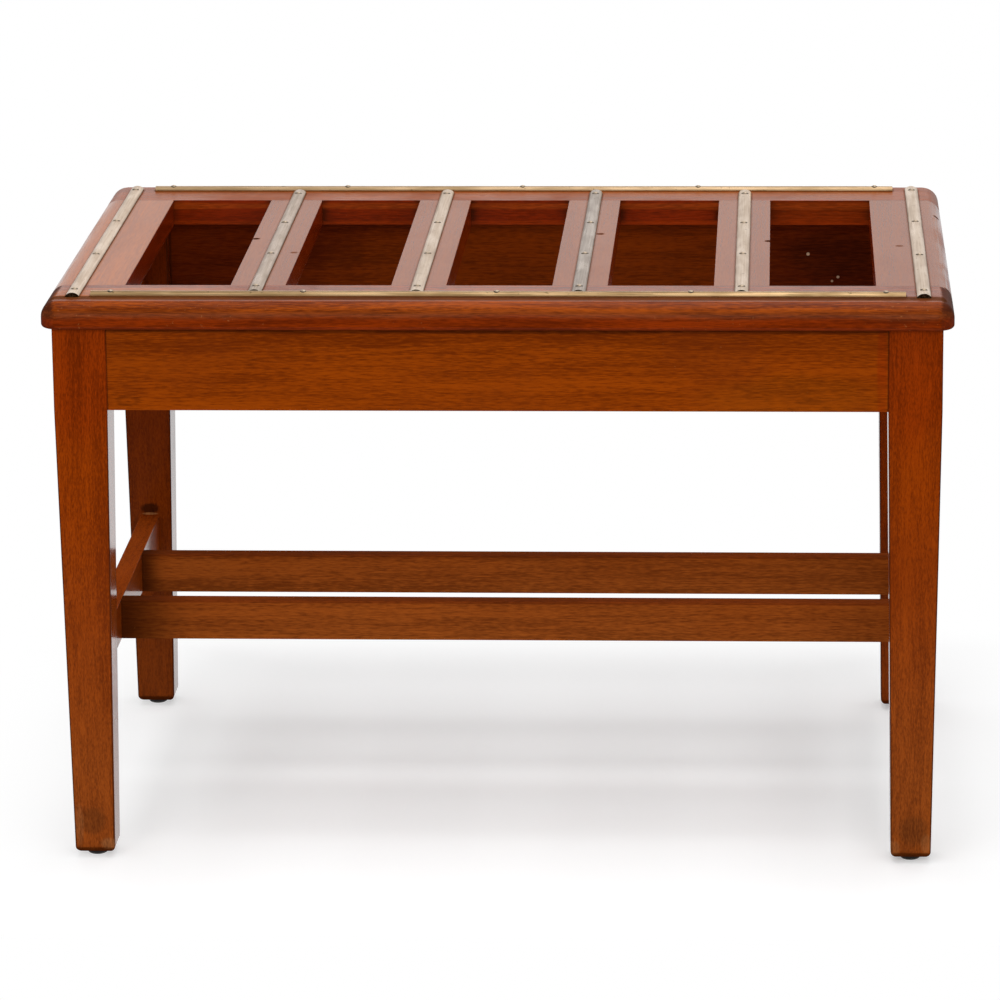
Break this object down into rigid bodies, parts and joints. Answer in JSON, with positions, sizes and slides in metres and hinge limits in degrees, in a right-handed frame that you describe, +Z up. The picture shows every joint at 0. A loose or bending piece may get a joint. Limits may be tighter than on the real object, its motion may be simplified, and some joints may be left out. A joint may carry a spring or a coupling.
{
  "type": "luggage stand",
  "caption": "Rigid wooden luggage stand with tapered legs, stretchers and a slatted top edged and crossed by pinned brass strips with rounded crowns.",
  "frame": {"origin": "on the floor under the middle of the stand", "axes": "+X along the length to the right, +Y to the back, +Z up; the pictured front is at -Y"},
  "size_m": [0.76, 0.508, 0.4943],
  "materials": {
    "mahogany": "French-polished mahogany",
    "brass_strip": "worn, lightly tarnished brass",
    "brass_pin": "filed, tarnished brass",
    "glide_steel": "dark domed steel",
    "dowel_wood": "bare hardwood"
  },
  "bodies": {
    "root": {"apron_dowels": "dowel_wood", "front_apron": "mahogany", "front_left_glide": "glide_steel", "front_left_leg": "mahogany", "front_long_stretcher": "mahogany", "front_right_glide": "glide_steel", "front_right_leg": "mahogany", "front_strip": "brass_strip", "front_strip_pins": "brass_pin", "front_top_rail": "mahogany", "left_apron": "mahogany", "left_end_board": "mahogany", "left_end_stretcher": "mahogany", "left_end_strip": "brass_strip", "left_end_strip_pins": "brass_pin", "leg_dowels": "dowel_wood", "rear_apron": "mahogany", "rear_left_glide": "glide_steel", "rear_left_leg": "mahogany", "rear_long_stretcher": "mahogany", "rear_right_glide": "glide_steel", "rear_right_leg": "mahogany", "rear_strip": "brass_strip", "rear_strip_pins": "brass_pin", "rear_top_rail": "mahogany", "right_apron": "mahogany", "right_end_board": "mahogany", "right_end_stretcher": "mahogany", "right_end_strip": "brass_strip", "right_end_strip_pins": "brass_pin", "slat_1": "mahogany", "slat_2": "mahogany", "slat_3": "mahogany", "slat_4": "mahogany", "slat_strip_1": "brass_strip", "slat_strip_1_pins": "brass_pin", "slat_strip_2": "brass_strip", "slat_strip_2_pins": "brass_pin", "slat_strip_3": "brass_strip", "slat_strip_3_pins": "brass_pin", "slat_strip_4": "brass_strip", "slat_strip_4_pins": "brass_pin"}
  },
  "joints": []
}
